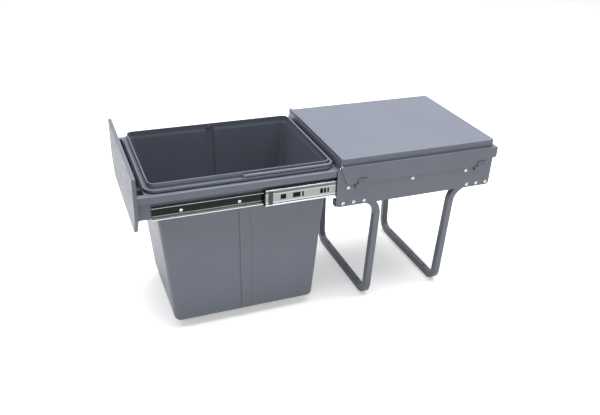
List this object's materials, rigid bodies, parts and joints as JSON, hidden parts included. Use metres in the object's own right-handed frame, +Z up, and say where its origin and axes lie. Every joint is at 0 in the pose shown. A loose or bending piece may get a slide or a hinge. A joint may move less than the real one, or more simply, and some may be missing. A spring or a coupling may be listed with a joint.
{
  "type": "pull out trash cabinet",
  "caption": "Pull out waste bin unit for a kitchen cabinet: lidded housing on bent tube legs, ball bearing drawer frame with front panel, and a tapered bin with a bail handle.",
  "frame": {"origin": "middle of the floor screw holes, on the underside of the legs", "axes": "+X across the unit towards its right side seen from the front, +Y into the cabinet (the drawer pulls out towards -Y), +Z up"},
  "size_m": [0.3496, 0.8766, 0.4246],
  "materials": {
    "dark_plastic": "fine moulded grain, blue grey",
    "painted_steel": "powder coated, blue grey",
    "zinc_steel": "zinc plated",
    "rivet_steel": "bright",
    "ball_steel": "polished",
    "clip_plastic": "satin black",
    "rubber": "matt black"
  },
  "bodies": {
    "housing": {"side_plate_left": "painted_steel", "side_plate_right": "painted_steel", "lid": "dark_plastic", "front_leg": "painted_steel", "rear_leg": "painted_steel", "tube_plugs": "dark_plastic", "lid_clip_front_left": "dark_plastic", "lid_clip_front_right": "dark_plastic", "lid_clip_rear_left": "dark_plastic", "lid_clip_rear_right": "dark_plastic", "leg_rivets": "rivet_steel", "slide_rivets": "rivet_steel", "outer_slide_left": "zinc_steel", "outer_slide_right": "zinc_steel", "slide_bumper_left": "rubber", "slide_bumper_right": "rubber"},
    "outer_cages": {"outer_cage_left": "zinc_steel", "outer_cage_right": "zinc_steel", "outer_balls_left": "ball_steel", "outer_balls_right": "ball_steel"},
    "middle_slides": {"middle_slide_left": "zinc_steel", "middle_slide_right": "zinc_steel", "slide_stop_left": "clip_plastic", "slide_stop_right": "clip_plastic"},
    "inner_cages": {"inner_cage_left": "zinc_steel", "inner_cage_right": "zinc_steel", "inner_balls_left": "ball_steel", "inner_balls_right": "ball_steel"},
    "drawer": {"drawer_frame": "dark_plastic", "front_panel": "dark_plastic", "inner_slide_left": "zinc_steel", "inner_slide_right": "zinc_steel", "slide_screws": "rivet_steel", "panel_screws": "rivet_steel"},
    "bin": {"bin": "dark_plastic"},
    "bail": {"bail": "dark_plastic"}
  },
  "joints": [
    {"name": "drawer_slide", "type": "slide", "parent": "housing", "child": "drawer", "axis": [0, 1, 0], "range_m": [0, 0.403]},
    {"name": "outer_cage_slide", "type": "slide", "parent": "housing", "child": "outer_cages", "axis": [0, 1, 0], "range_m": [0, 0.07798]},
    {"name": "middle_slide_travel", "type": "slide", "parent": "housing", "child": "middle_slides", "axis": [0, 1, 0], "range_m": [0, 0.15596]},
    {"name": "inner_cage_slide", "type": "slide", "parent": "housing", "child": "inner_cages", "axis": [0, 1, 0], "range_m": [0, 0.27948]},
    {"name": "bin_lift", "type": "slide", "parent": "drawer", "child": "bin", "axis": [0, 0, 1], "range_m": [0, 0.42]},
    {"name": "bail_turn", "type": "hinge", "parent": "bin", "child": "bail", "pos_m": [0, -0.42575, 0.38935], "axis": [1, 0, 0], "range_deg": [0, 180]}
  ],
  "couplings": [
    {"joint": "outer_cage_slide", "follows": "drawer_slide", "ratio": 0.1935},
    {"joint": "middle_slide_travel", "follows": "drawer_slide", "ratio": 0.387},
    {"joint": "inner_cage_slide", "follows": "drawer_slide", "ratio": 0.6935}
  ]
}
